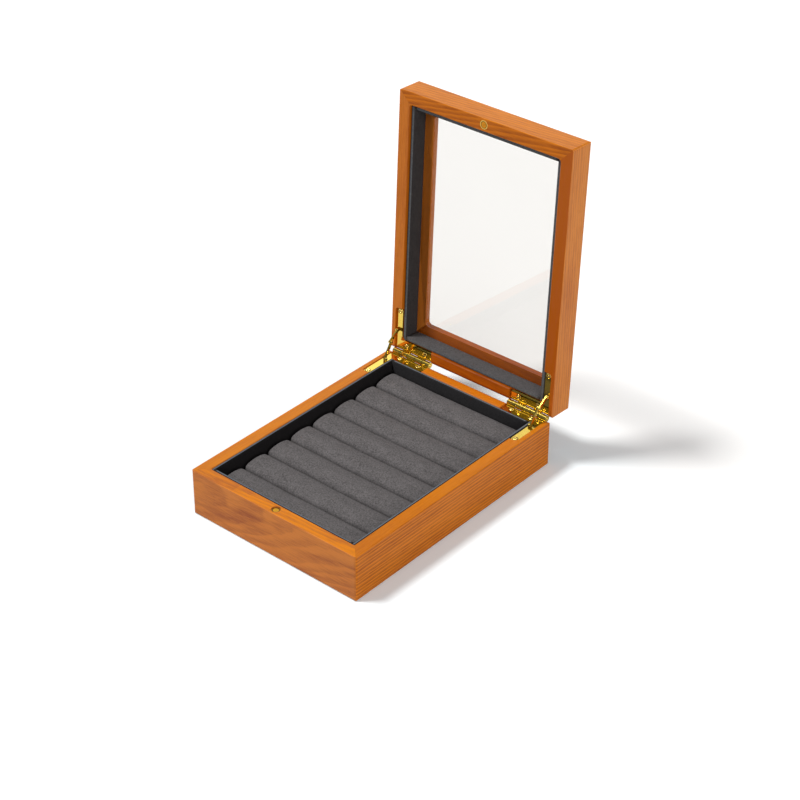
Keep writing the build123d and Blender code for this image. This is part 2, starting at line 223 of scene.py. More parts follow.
def finish_material(graph, inputs):
    shader = graph.add("ShaderNodeBsdfPrincipled", inputs)
    graph.add("ShaderNodeOutputMaterial", {"Surface": shader})


def paint(thing, material):
    thing.data.materials.clear()
    thing.data.materials.append(material)


# Wood: growth rings round a pith line, smoky streaks, pores and fibres under a satin lacquer.
# pith_mm is where the pith line lies across the grain, in from the face and up. slope is how
# fast the rings climb along the piece. drift_mm is how far they wander. rings and streaks are
# how strongly these darken the piece, rim_rings the share of the rings left on its rim, and
# joint_mm where two boards meet in the rim. CELLS are the cells of a noise per millimetre,
# along the grain and twice across it, or outwards from the pith line for SPREAD_CELLS. An EDGE
# is where a ramp starts and where it ends.

SEED_SHIFT = (37.0, 11.0, 23.0)
SPREAD_SHIFT = 5.0
DRIFT_CELLS = (0.011, 0.045, 0.045)
SPREAD_CELLS = (0.16, 1, 1)
RAGGED_CELLS = (0.06, 0.8, 0.8)
STREAK_CELLS = (0.015, 0.15, 0.15)
FIBRE_CELLS = (0.09, 1.25, 1.25)
PORE_CELLS = (0.24, 4.4, 4.4)
CLOUD_CELLS = (0.018, 0.05, 0.05)
RING_RISE_EDGE = (0.0, 0.62)
RING_FALL_EDGE = (0.80, 0.98)
STREAK_EDGE = (0.44, 0.80)
PORE_EDGE = (0.60, 0.72)
PORES_IN_RINGS_EDGE = (0.1, 0.8)
PORES_BETWEEN_RINGS = 0.35
RIM_EDGE = (0.75, 0.98)
RIM_RINGS = 0.35
RING_SPREAD = 1.6
RING_RAGGED = 0.22
FIBRE_SWING = 1.1
CLOUD_SWING = 0.6
PORE_SHADE = 0.32
BOARD_SHADE = 0.22
LACQUER_ROUGHNESS = 0.42
LACQUER_SWING = 0.16
PORE_RELIEF = -0.8
RING_RELIEF = -0.25

# light, dark and rim are tones of one wood, set for each piece and for its rim apart from its faces
# to match how brightly each is lit, so they hold painted light and shade: the base's right wall and
# the lid's right rail are painted lighter, the lid's back and left rails darker.
WOOD = {
    "base_front_wall": dict(
        along="X", seed=1, ring_mm=3.4, pith_mm=(-36.0, 34.0), slope=(0.08, 0.22), drift_mm=9.0,
        rings=0.26, streaks=0.62, light=(216, 131, 57), dark=(150, 73, 40), rim=(224, 131, 4),
        joint_mm=-31.7, rim_rings=0.9,
    ),
    "base_back_wall": dict(
        along="X", seed=2, ring_mm=3.6, pith_mm=(46.0, 6.0), slope=(-0.06, 0.07), drift_mm=8.0,
        rings=0.28, streaks=0.5, light=(216, 128, 46), dark=(156, 74, 30), rim=(212, 118, 10),
    ),
    "base_left_wall": dict(
        along="Y", seed=3, ring_mm=2.1, pith_mm=(10.0, -160.0), slope=(0.0, -0.03), drift_mm=2.0,
        rings=0.40, streaks=0.3, light=(222, 134, 46), dark=(168, 80, 26), rim=(212, 124, 12),
    ),
    "base_right_wall": dict(
        along="Y", seed=4, ring_mm=2.3, pith_mm=(-30.0, 190.0), slope=(0.0, -0.012), drift_mm=1.2,
        rings=0.52, streaks=0.25, light=(236, 138, 34), dark=(160, 71, 10), rim=(207, 119, 6),
    ),
    "lid_front_rail": dict(
        along="X", seed=5, ring_mm=2.1, pith_mm=(-170.0, 125.0), slope=(-0.06, 0.09), drift_mm=4.0,
        rings=0.28, streaks=0.5, light=(220, 129, 8), dark=(157, 74, 6), rim=(216, 119, 14),
        rim_rings=1.8,
    ),
    "lid_back_rail": dict(
        along="X", seed=6, ring_mm=2.6, pith_mm=(60.0, 20.0), slope=(0.08, 0.05), drift_mm=5.0,
        rings=0.40, streaks=0.45, light=(174, 86, 6), dark=(130, 52, 2), rim=(184, 92, 8),
    ),
    "lid_left_rail": dict(
        along="Y", seed=7, ring_mm=1.9, pith_mm=(20.0, -120.0), slope=(0.0, 0.02), drift_mm=2.5,
        rings=0.25, streaks=0.25, light=(197, 106, 10), dark=(154, 68, 4), rim=(214, 123, 38),
    ),
    "lid_right_rail": dict(
        along="Y", seed=8, ring_mm=2.0, pith_mm=(-8.0, 150.0), slope=(0.0, 0.035), drift_mm=4.0,
        rings=0.30, streaks=0.28, light=(238, 148, 66), dark=(184, 92, 44), rim=(183, 90, 0),
    ),
}


def grain_place(g, closed, along):
    """A point's place in millimetres with x along the grain."""
    turn = Matrix.Identity(4) if along == "X" else Matrix.Rotation(math.radians(-90), 4, "Z")
    location, rotation, _ = (turn @ closed.inverted()).decompose()
    inputs = {
        "Vector": g.add("ShaderNodeTexCoord", output="Object"),
        "Location": location / MM,
        "Rotation": rotation.to_euler(),
        "Scale": (1 / MM, 1 / MM, 1 / MM),
    }
    return g.add("ShaderNodeMapping", inputs)


def growth(g, placed, seeded, wood):
    """Distance from the pith line and the place across the grain, both wandering."""
    cloudy = g.noise(seeded, DRIFT_CELLS, output="Color")
    wander = g.vector("SUBTRACT", cloudy, (0.5, 0.5, 0.5))
    drift = g.vector("MULTIPLY", wander, (0.0, wood["drift_mm"], wood["drift_mm"]))
    x, y, z = g.parts(g.vector("ADD", placed, drift))
    slope, pith = wood["slope"], wood["pith_mm"]
    depth = g.math("SUBTRACT", g.math("MULTIPLY_ADD", x, -slope[0], y), pith[0])
    height = g.math("SUBTRACT", g.math("MULTIPLY_ADD", x, -slope[1], z), pith[1])
    square = g.math("MULTIPLY_ADD", depth, depth, g.math("MULTIPLY", height, height))
    across = g.add("ShaderNodeCombineXYZ", {0: x, 1: depth, 2: height})
    return g.math("SQRT", square), across


def wood_material(name, closed, wood):
    material, g = new_material(name)
    placed = grain_place(g, closed, wood["along"])
    seed = wood["seed"]
    seeded = g.vector("ADD", placed, tuple(seed * shift for shift in SEED_SHIFT))
    radius, across = growth(g, placed, seeded, wood)

    outwards = g.add("ShaderNodeCombineXYZ", {0: radius, 1: seed * SPREAD_SHIFT})
    spread = g.noise(outwards, SPREAD_CELLS)
    ragged = g.noise(seeded, RAGGED_CELLS, detail=3.0, roughness=0.6)
    turns = g.swing(spread, RING_SPREAD, g.math("DIVIDE", radius, wood["ring_mm"]))
    phase = g.math("FRACT", g.swing(ragged, RING_RAGGED, turns))
    falling = g.ramp(phase, *RING_FALL_EDGE, 1.0, 0.0)
    ring = g.math("MULTIPLY", g.ramp(phase, *RING_RISE_EDGE), falling)
    streak = g.ramp(g.noise(across, STREAK_CELLS, detail=3.0), *STREAK_EDGE)
    fibre = g.noise(seeded, FIBRE_CELLS, detail=4.0, roughness=0.72)
    speck = g.noise(seeded, PORE_CELLS, detail=1.0)
    in_rings = g.ramp(ring, *PORES_IN_RINGS_EDGE, PORES_BETWEEN_RINGS, 1.0)
    pore = g.math("MULTIPLY", g.ramp(speck, *PORE_EDGE), in_rings)
    cloud = g.noise(seeded, CLOUD_CELLS)

    on_rim = g.ramp(g.facing(closed.to_3x3() @ UP), *RIM_EDGE)
    rim_rings = wood["rings"] * wood.get("rim_rings", RIM_RINGS)
    depth_of_rings = g.ramp(on_rim, 0.0, 1.0, wood["rings"], rim_rings)
    shade = g.math("MULTIPLY", ring, depth_of_rings)
    shade = g.math("MULTIPLY_ADD", streak, wood["streaks"], shade)
    shade = g.swing(fibre, FIBRE_SWING, shade)
    shade = g.swing(cloud, CLOUD_SWING, shade)
    shade = g.math("MULTIPLY_ADD", pore, PORE_SHADE, shade)
    if "joint_mm" in wood:
        before = g.math("LESS_THAN", g.parts(placed)[0], wood["joint_mm"])
        shade = g.math("MULTIPLY_ADD", g.math("MULTIPLY", before, on_rim), BOARD_SHADE, shade)
    shade = g.math("ADD", shade, 0.0, clamp=True)
    # Faces and rim take the piece's tones from WOOD, which hold painted light and shade.
    light = g.blend(on_rim, colour(*wood["light"]), colour(*wood["rim"]))
    tone = g.blend(shade, light, colour(*wood["dark"]))

    gloss = g.swing(fibre, LACQUER_SWING, LACQUER_ROUGHNESS)
    relief = g.math("MULTIPLY_ADD", pore, PORE_RELIEF, g.math("MULTIPLY", ring, RING_RELIEF))
    finish_material(
        g,
        {
            "Base Color": tone,
            "Roughness": gloss,
            "Specular IOR Level": 0.20,
            "Normal": g.bump(relief, strength=0.25, distance=0.12 * MM),
        },
    )
    return material


def finish_wood():
    for node, wood in WOOD.items():
        closed = SHUT if node.startswith("base") else OPENED
        paint(nodes[node], wood_material(f"{node}_wood", closed, wood))


# Cloth: a short suede nap over foam and card

NAP_CELLS = (1.05, 1.05, 1.05)
BRUSHED_CELLS = (0.11, 0.2, 0.2)
BRUSHED_SHARE = 0.2
DARKEST_NAP = 0.3
# Where the painted highlight along a strip's folded edge starts and where it is full, by how
# squarely the surface faces the edge's direction.
FOLD_HIGHLIGHT_EDGE = (0.88, 0.985)


def suede_material(name, tone, mottle, edge=None):
    """edge, where given, is the tone of a painted highlight along the folded edge and the direction
    that the edge faces.
    """
    material, g = new_material(name)
    point = g.place()
    nap = g.noise(point, NAP_CELLS, detail=4.0, roughness=0.75)
    brushed = g.noise(point, BRUSHED_CELLS, detail=3.0, roughness=0.55)
    level = g.swing(brushed, mottle * BRUSHED_SHARE, g.swing(nap, mottle, 1.0))
    level = g.math("MAXIMUM", level, DARKEST_NAP)
    if edge:
        # Paint the folded edge lighter where it faces along the edge's direction: a painted
        # highlight.
        highlight_tone, direction = edge
        tone = g.blend(g.ramp(g.facing(direction), *FOLD_HIGHLIGHT_EDGE), tone, highlight_tone)
    finish_material(
        g,
        {
            "Base Color": g.tinted(tone, level),
            "Roughness": 0.95,
            "Specular IOR Level": 0.12,
            "Sheen Weight": 0.05,
            "Sheen Roughness": 0.45,
            "Sheen Tint": (0.75, 0.74, 0.74, 1.0),
            "Normal": g.bump(nap, strength=0.4, distance=0.2 * MM),
        },
    )
    return material


# Metal, glass and board

SMEAR_CELLS = (0.26, 0.42, 0.42)
SMEAR_EDGE = (0.35, 0.75)
SMEARED_SHARE = 0.88
SCRATCH_CELLS = (5.2, 0.9, 5.2)
PLATING_CELLS = (0.5, 0.5, 0.5)
PLATING_EDGE = (0.3, 0.7)
WORN_SHARE = 0.8
RIM_SOFT_MM = 0.1
GROOVE_MM = (-0.35, -0.15, 0.0, 0.2)
# Near black painted into the magnets' groove as shade.
GROOVE_PAINTED_SHADE = (0.05, 0.03, 0.01, 1.0)
CHIP_CELLS = (0.9, 0.35, 0.9)
STAIN_CELLS = (0.03, 0.012, 0.03)


def brass_material(name, tone, roughness, brushing):
    material, g = new_material(name)
    point = g.place()
    smear = g.noise(point, SMEAR_CELLS, detail=3.0, roughness=0.6)
    scratch = g.noise(point, SCRATCH_CELLS, roughness=0.6)
    smeared = dimmed(tone, SMEARED_SHARE)
    finish_material(
        g,
        {
            "Base Color": g.blend(g.ramp(smear, *SMEAR_EDGE), tone, smeared),
            "Metallic": 1.0,
            "Roughness": g.math("MULTIPLY_ADD", smear, brushing, roughness),
            "Normal": g.bump(scratch, strength=0.08, distance=0.04 * MM),
        },
    )
    return material


def magnet_material(name, centre, tone, rim_highlight_and_shade, ring_mm):
    """A plated disc whose rim is painted lighter on the lid's magnet, as a highlight, and darker on
    the base's, as shade, with a thin groove inside the rim painted near black as shade.

    GROOVE_MM is where the groove starts, is deep, eases and ends, counted from the rim.
    """
    material, g = new_material(name)
    offset = g.vector("SUBTRACT", g.place(), centre / MM)
    reach = g.vector("LENGTH", offset, output="Value")
    smear = g.noise(offset, PLATING_CELLS, detail=3.0, roughness=0.6)
    on_rim = g.ramp(reach, ring_mm - RIM_SOFT_MM, ring_mm + RIM_SOFT_MM)
    start, deep, ease, end = (ring_mm + step for step in GROOVE_MM)
    groove = g.math("MULTIPLY", g.ramp(reach, start, deep), g.ramp(reach, ease, end, 1, 0))
    plated = g.blend(g.ramp(smear, *PLATING_EDGE), tone, dimmed(tone, WORN_SHARE))
    # Random plating wear, then the rim's painted highlight or painted shade for this magnet, then
    # the groove's painted shade.
    worn_plating_and_painted_light = g.blend(groove, g.blend(on_rim, plated, rim_highlight_and_shade), GROOVE_PAINTED_SHADE)
    finish_material(
        g,
        {
            "Base Color": worn_plating_and_painted_light,
            "Metallic": 0.85,
            "Roughness": g.math("MULTIPLY_ADD", smear, 0.2, 0.3),
            "Normal": g.bump(groove, strength=-0.4, distance=0.1 * MM),
        },
    )
    return material


def glass_material(name):
    material, g = new_material(name)
    finish_material(
        g,
        {
            "Base Color": (0.975, 0.97, 0.962, 1.0),
            "Roughness": 0.0,
            "IOR": 1.46,
            "Transmission Weight": 1.0,
        },
    )
    return material


def board_material(name, tone, speck):
    material, g = new_material(name)
    point = g.place()
    chips = g.noise(point, CHIP_CELLS, detail=4.0, roughness=0.7)
    stain = g.noise(point, STAIN_CELLS)
    level = g.swing(stain, speck, g.swing(chips, speck, 1.0))
    finish_material(
        g,
        {
            "Base Color": g.tinted(tone, level),
            "Roughness": 0.7,
            "Normal": g.bump(chips, strength=0.2, distance=0.1 * MM),
        },
    )
    return material


# Pieces in mesh code


def mesh_object(name, mesh, material, smooth=True):
    bmesh.ops.recalc_face_normals(mesh, faces=mesh.faces)
    data = bpy.data.meshes.new(name)
    mesh.to_mesh(data)
    mesh.free()
    for polygon in data.polygons:
        polygon.use_smooth = smooth
    data.materials.append(material)
    thing = bpy.data.objects.new(name, data)
    bpy.context.scene.collection.objects.link(thing)
    return thing


def bridge(mesh, first, second):
    """Faces between two rings of as many points."""
    count = len(first)
    for k in range(count):
        mesh.faces.new((first[k], first[(k + 1) % count], second[(k + 1) % count], second[k]))


def fan(mesh, ring, tip):
    for k in range(len(ring)):
        mesh.faces.new((ring[k], ring[(k + 1) % len(ring)], tip))


# Padded rolls: foam in suede, a flat-topped section with soft shoulders, swollen as cloth.
# SLACK is how much smaller a roll is before it swells, and PRESSED how far its sides reach
# past its own box into the neighbours.

CROWN_RADIUS = 26.0 * MM
SHOULDER_RADIUS = 2.7 * MM
FOOT_RADIUS = 3.4 * MM
SECTION_POINTS = 44
CROWN_STEPS = 60
STATION_STEP = 2.8 * MM
END_RADIUS = 1.9 * MM
END_RINGS = 4
CAP_RINGS = 5
SLACK = 0.45 * MM
TRAVEL_CAP = 0.5 * MM
SWELL_SHARE = 0.3
FOAM_WAVE = 0.14 * MM
WAVES_ALONG = 35
WAVES_AROUND = 60
WAVE_SHIFT = 3.1
SOLE_TOP = 0.3 * MM
SWELL_FRAMES = 20
SWELL_QUALITY = 5
SWELL_PRESSURE = 4.0
PRESSED = 0.05 * MM


def arc(centre, radius, start, end, steps=24):
    return [
        (
            centre[0] + radius * math.cos(start + (end - start) * step / steps),
            centre[1] + radius * math.sin(start + (end - start) * step / steps),
        )
        for step in range(steps + 1)
    ]


def evenly(points, count):
    """count places at even distances along a closed line."""
    closed = points + points[:1]
    runs = [math.dist(a, b) for a, b in zip(closed, closed[1:])]
    places = []
    index, passed = 0, 0.0
    for step in range(count):
        target = sum(runs) * step / count
        while passed + runs[index] < target:
            passed += runs[index]
            index += 1
        share = (target - passed) / runs[index] if runs[index] else 0.0
        a, b = closed[index], closed[index + 1]
        places.append((a[0] + (b[0] - a[0]) * share, a[1] + (b[1] - a[1]) * share))
    return places


def roll_section(half_width, height):
    """Section about the middle of the sole, as (across, up)."""
    crown = (0.0, height - CROWN_RADIUS)
    across = half_width - SHOULDER_RADIUS
    rise = math.sqrt((CROWN_RADIUS - SHOULDER_RADIUS) ** 2 - across**2)
    up = crown[1] + rise
    lean = math.atan2(rise, across)
    foot = half_width - FOOT_RADIUS
    points = [(0.0, 0.0)]
    points += arc((foot, FOOT_RADIUS), FOOT_RADIUS, -math.pi / 2, 0)
    points += arc((across, up), SHOULDER_RADIUS, 0, lean)
    points += arc(crown, CROWN_RADIUS, lean, math.pi - lean, CROWN_STEPS)
    points += arc((-across, up), SHOULDER_RADIUS, math.pi - lean, math.pi)
    points += arc((-foot, FOOT_RADIUS), FOOT_RADIUS, math.pi, 1.5 * math.pi)
    return evenly(points, SECTION_POINTS)


def roll_stations(half_length):
    """Places along a roll and how far the section draws in there, rounding its ends."""
    straight = half_length - END_RADIUS
    steps = round(straight / STATION_STEP)
    body = [(straight * step / steps, 0.0) for step in range(-steps, steps + 1)]
    ends = []
    for step in range(1, END_RINGS + 1):
        angle = math.pi / 2 * step / END_RINGS
        ends.append((straight + END_RADIUS * math.sin(angle), END_RADIUS * (1 - math.cos(angle))))
    return [(-x, inset) for x, inset in reversed(ends)] + body + ends


def roll_mesh(half_length, half_width, height, index):
    """The slack roll about the middle of its sole, before it swells."""
    section = roll_section(half_width, height)
    heart = height * 0.5
    mesh = bmesh.new()
    rings = []
    for x, inset in roll_stations(half_length):
        ring = []
        for y, z in section:
            reach = math.hypot(y, z - heart)
            along = x * WAVES_ALONG + index * WAVE_SHIFT
            uneven = noise.noise(Vector((along, y * WAVES_AROUND, z * WAVES_AROUND))) * FOAM_WAVE
            share = (reach - inset + (uneven if z > FOOT_RADIUS else 0.0)) / reach
            up = heart + (z - heart) * share if z > 0 else 0.0
            ring.append(mesh.verts.new((x, y * share, up)))
        rings.append(ring)
    for first, second in zip(rings, rings[1:]):
        bridge(mesh, first, second)
    for ring in (rings[0], rings[-1]):
        middle = Vector((ring[0].co.x, 0.0, heart))
        previous = ring
        for step in range(1, CAP_RINGS):
            share = 1 - step / CAP_RINGS
            current = [mesh.verts.new(middle + (point.co - middle) * share) for point in ring]
            bridge(mesh, previous, current)
            previous = current
        fan(mesh, previous, mesh.verts.new(middle))
    return mesh


def swell(thing):
    """Blow the slack roll up as cloth with its sole held down, and keep a capped share of how far
    each point moved.
    """
    start = [vertex.co.copy() for vertex in thing.data.vertices]
    sole = thing.vertex_groups.new(name="sole")
    sole.add([k for k, point in enumerate(start) if point.z < SOLE_TOP], 1.0, "REPLACE")
    cloth = thing.modifiers.new("swell", "CLOTH")
    cloth.settings.quality = SWELL_QUALITY
    cloth.settings.use_pressure = True
    cloth.settings.uniform_pressure_force = SWELL_PRESSURE
    cloth.settings.effector_weights.gravity = 0.0
    cloth.settings.vertex_group_mass = "sole"
    cloth.collision_settings.use_collision = False
    cloth.point_cache.frame_start = 1
    cloth.point_cache.frame_end = SWELL_FRAMES
    for step in range(1, SWELL_FRAMES + 1):
        bpy.context.scene.frame_set(step)
    swollen = thing.evaluated_get(bpy.context.evaluated_depsgraph_get())
    moved = [vertex.co.copy() for vertex in swollen.data.vertices]
    thing.modifiers.remove(cloth)
    bpy.context.scene.frame_set(1)
    for vertex, before, after in zip(thing.data.vertices, start, moved):
        travel = (after - before) * SWELL_SHARE
        if travel.length > TRAVEL_CAP:
            travel *= TRAVEL_CAP / travel.length
        vertex.co = before + travel


def settle(thing, middle, sole_z, half_length, half_width, height):
    """Press the roll against its neighbours, bring its top to its height and put it in place."""
    top = max(vertex.co.z for vertex in thing.data.vertices)
    for vertex in thing.data.vertices:
        x, y, z = vertex.co
        x = max(-half_length, min(half_length, x))
        y = max(-half_width, min(half_width, y))
        vertex.co = Vector((middle.x + x, middle.y + y, sole_z + z * height / top))


def add_roll(index, material):
    node = f"padded_roll_{index}"
    low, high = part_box(node)
    half_length, half_width = (high.x - low.x) / 2, (high.y - low.y) / 2
    height = high.z - low.z
    mesh = roll_mesh(half_length - SLACK, half_width - SLACK, height - SLACK, index)
    roll = mesh_object(f"{node}_cloth", mesh, material)
    swell(roll)
    settle(roll, (low + high) / 2, low.z, half_length, half_width + PRESSED, height)
    finer = roll.modifiers.new("finer", "SUBSURF")
    finer.levels = 1
    finer.render_levels = 1
    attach(roll, "base")
    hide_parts(node)


# Lining strips: cloth folded over card, with a soft free edge

LINER_WAVE = 0.05 * MM
WAVES_PER_RUN = 60
WAVES_PER_SIDE = 200
WALL_SHIFT = 50
LINER_STEP = 2.5 * MM
SIDE_STEPS = 8
EDGE_STEPS = 6
END_STEPS = 5
BASE_LINER = dict(edge_up=True, radius=0.8 * MM, corner=0.5 * MM)
LID_LINER = dict(edge_up=False, radius=1.0 * MM, corner=2.2 * MM)


def closed_box(node, closed):
    """Lowest and highest corner of a node in the coordinates of the shut box."""
    back = closed.inverted()
    points = [back @ vertex.co for vertex in nodes[node].data.vertices]
    low = Vector([min(point[k] for point in points) for k in range(3)])
    high = Vector([max(point[k] for point in points) for k in range(3)])
    return low, high


def liner_section(thickness, height, radius):
    """Section from the wall's foot round the soft edge to the inner foot, as (across, up)."""
    side = [(0.0, (height - radius) * step / SIDE_STEPS) for step in range(SIDE_STEPS)]
    outer = arc((radius, height - radius), radius, math.pi, math.pi / 2, EDGE_STEPS)
    inner = arc((thickness - radius, height - radius), radius, math.pi / 2, 0, EDGE_STEPS)
    return side + outer + inner + [(thickness, up) for _, up in reversed(side)]


def liner_stations(start, end, corner):
    """Places along a strip and how far its wall side draws in there, rounding its corners."""
    first, length = start + corner, end - start - 2 * corner
    steps = round(length / LINER_STEP)
    body = [(first + length * step / steps, 0.0) for step in range(steps + 1)]
    if not corner:
        return body
    turns = []
    for step in range(END_STEPS):
        angle = math.pi / 2 * step / END_STEPS
        turns.append((corner * (1 - math.cos(angle)), corner * (1 - math.sin(angle))))
    near = [(start + along, inset) for along, inset in turns]
    return near + body + [(end - along, inset) for along, inset in reversed(turns)]


def add_liner(node, closed, material, edge_up, radius, corner):
    """A strip whose free edge points up or down in the shut box."""
    low, high = closed_box(node, closed)
    size = high - low
    along = 0 if size.x > size.y else 1
    across = 1 - along
    wall_sign = 1 if low[across] + high[across] > 0 else -1
    wall_at = high[across] if wall_sign > 0 else low[across]
    section = liner_section(size[across] - LINER_WAVE, size.z - LINER_WAVE, radius)
    inner = size[across] - LINER_WAVE
    mesh = bmesh.new()
    rings = []
    for run, inset in liner_stations(low[along], high[along], corner if along == 1 else 0.0):
        ring = []
        for side, up in section:
            beside = side * WAVES_PER_SIDE + wall_at * WALL_SHIFT
            place = Vector((run * WAVES_PER_RUN, beside, up * WAVES_PER_RUN))
            wave = noise.noise(place) * LINER_WAVE / 2
            point = Vector()
            point[along] = run
            drawn = side + inset * (1 - side / inner)
            point[across] = wall_at - wall_sign * (LINER_WAVE / 2 + drawn + wave)
            rise = up + (wave if up > 0 else 0.0)
            point.z = low.z + rise if edge_up else high.z - rise
            ring.append(mesh.verts.new(closed @ point))
        rings.append(ring)
    for first, second in zip(rings, rings[1:]):
        bridge(mesh, first, second)
    mesh.faces.new(rings[0])
    mesh.faces.new(rings[-1])
    strip = mesh_object(f"{node}_cloth", mesh, material)
    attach(strip, node.split("_")[0])
    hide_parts(node)


# Domed screw heads with cross recesses, on the screws of the hinge leaves

HEAD_RADIUS = 1.72 * MM
HEAD_RISE = 0.378 * MM
HEAD_FOOT = 0.2 * MM
HEAD_RINGS = 15
HEAD_POINTS = 56
FIRST_SPIN = 17
NEXT_SPIN = 31
SPIN_PER_METRE = 90
CROSS_REACH = 0.98 * MM
CROSS_HALF = 0.17 * MM
CROSS_DEPTH = 0.34 * MM
CROSS_FLANK = 0.12 * MM
CROSS_TAPER = 0.5


def islands(mesh_data):
    """The separate solids of a node, as lists of their points."""
    mesh = bmesh.new()
    mesh.from_mesh(mesh_data)
    bmesh.ops.remove_doubles(mesh, verts=mesh.verts, dist=0.001 * MM)
    left = set(mesh.verts)
    groups = []
    while left:
        stack = [left.pop()]
        group = []
        while stack:
            vertex = stack.pop()
            group.append(vertex.co.copy())
            for edge in vertex.link_edges:
                other = edge.other_vert(vertex)
                if other in left:
                    left.remove(other)
                    stack.append(other)
        groups.append(group)
    mesh.free()
    return groups


def recess(u, v):
    """Depth of the cross at a point of the head, easing out over its flanks."""
    deep = 0.0
    for along, beside in ((abs(u), abs(v)), (abs(v), abs(u))):
        out = max(along - CROSS_REACH, beside - CROSS_HALF)
        deep = max(deep, min(1.0, max(0.0, 1 - out / CROSS_FLANK)))
    return deep * CROSS_DEPTH * (1 - CROSS_TAPER * math.hypot(u, v) / CROSS_REACH)


def head_ring(mesh, centre, radius, up, turn, spin, closed):
    ring = []
    for point in range(HEAD_POINTS):
        angle = 2 * math.pi * point / HEAD_POINTS
        x, y = radius * math.cos(angle), radius * math.sin(angle)
        u = x * math.cos(spin) + y * math.sin(spin)
        v = y * math.cos(spin) - x * math.sin(spin)
        height = up - recess(u, v)
        ring.append(mesh.verts.new(closed @ (centre + Vector((x, y, turn * height)))))
    return ring


def screw_places(node, closed, outward):
    """The middle of each screw's face in the shut box, from the front to the back."""
    back = closed.inverted()
    places = []
    for points in islands(nodes[node].data):
        local = [back @ point for point in points]
        middle = [(min(p[k] for p in local) + max(p[k] for p in local)) / 2 for k in range(2)]
        face = max(p.z for p in local) if outward > 0 else min(p.z for p in local)
        places.append(Vector((*middle, face)))
    return sorted(places, key=lambda place: (place.y, place.x))


def screw_head(centre, spin, closed, outward):
    """A dome on a short foot, built in rings from its edge to its tip."""
    mesh = bmesh.new()
    down = closed.to_3x3() @ Vector((0, 0, outward * HEAD_FOOT))
    previous = None
    for step in range(HEAD_RINGS, 0, -1):
        share = step / HEAD_RINGS
        up = HEAD_RISE * math.sqrt(1 - share**2)
        ring = head_ring(mesh, centre, HEAD_RADIUS * share, up, outward, spin, closed)
        if previous:
            bridge(mesh, previous, ring)
        else:
            foot = [mesh.verts.new(vertex.co - down) for vertex in ring]
            bridge(mesh, foot, ring)
            mesh.faces.new(foot)
        previous = ring
    tip = closed @ (centre + Vector((0, 0, outward * (HEAD_RISE - recess(0, 0)))))
    fan(mesh, previous, mesh.verts.new(tip))
    return mesh


def add_screw_heads(node, closed, outward, material):
    for index, centre in enumerate(screw_places(node, closed, outward)):
        spin = math.radians(FIRST_SPIN + NEXT_SPIN * index + SPIN_PER_METRE * centre.x)
        mesh = screw_head(centre, spin, closed, outward)
        head = mesh_object(f"{node}_head_{index + 1}", mesh, material)
        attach(head, "base" if outward > 0 else "lid")


# Stage: white floor, two soft suns and pale surroundings. The floor is FLOOR_LIT to the camera
# and FLOOR_BESIDE next to the box, FLOOR_SEEN_AGAIN by gloss and through glass, and
# FLOOR_BOUNCE where it only throws light back. FLOOR_GLOW lifts the shadows that the camera sees.

WHITE = (1.0, 1.0, 1.0, 1.0)
FLOOR_HALF = 4.0
FLOOR_DROP = 0.05 * MM
FLOOR_LIT = (0.965, 0.965, 0.965, 1.0)
FLOOR_BESIDE = (0.86, 0.952, 1.0, 1.0)
BESIDE_MM = 70.0
FLOOR_SEEN_AGAIN = (0.94, 0.94, 0.935, 1.0)
FLOOR_BOUNCE = (0.45, 0.45, 0.45, 1.0)
FLOOR_GLOW = 0.17
AMBIENT = 0.26
BRIGHT_SIDE = Vector((-0.66, 0.75, 0.0))
BAND_SIDE_EDGE = (0.15, 0.5)
BAND_TOP_EDGE = (0.60, 0.74)
OVERHEAD_EDGE = (0.79, 0.86)
BRIGHT_GLOSS = 1.15
DIM_GLOSS = 0.16
SUNS = {
    "key_sun": dict(
        towards=Vector((-0.35, -0.285, 0.88)), share=0.74, width=13, tone=(1.0, 0.985, 0.96)
    ),
    "fill_sun": dict(
        towards=Vector((0.88, -0.44, 0.35)), share=0.36, width=30, tone=(1.0, 0.99, 0.98)
    ),
}


def seen_again(g, path, rays):
    """1 for such rays where the camera sees along them, and not light that falls on a surface."""
    return g.math("MULTIPLY", rays, g.math("LESS_THAN", path["Diffuse Depth"], 0.5))


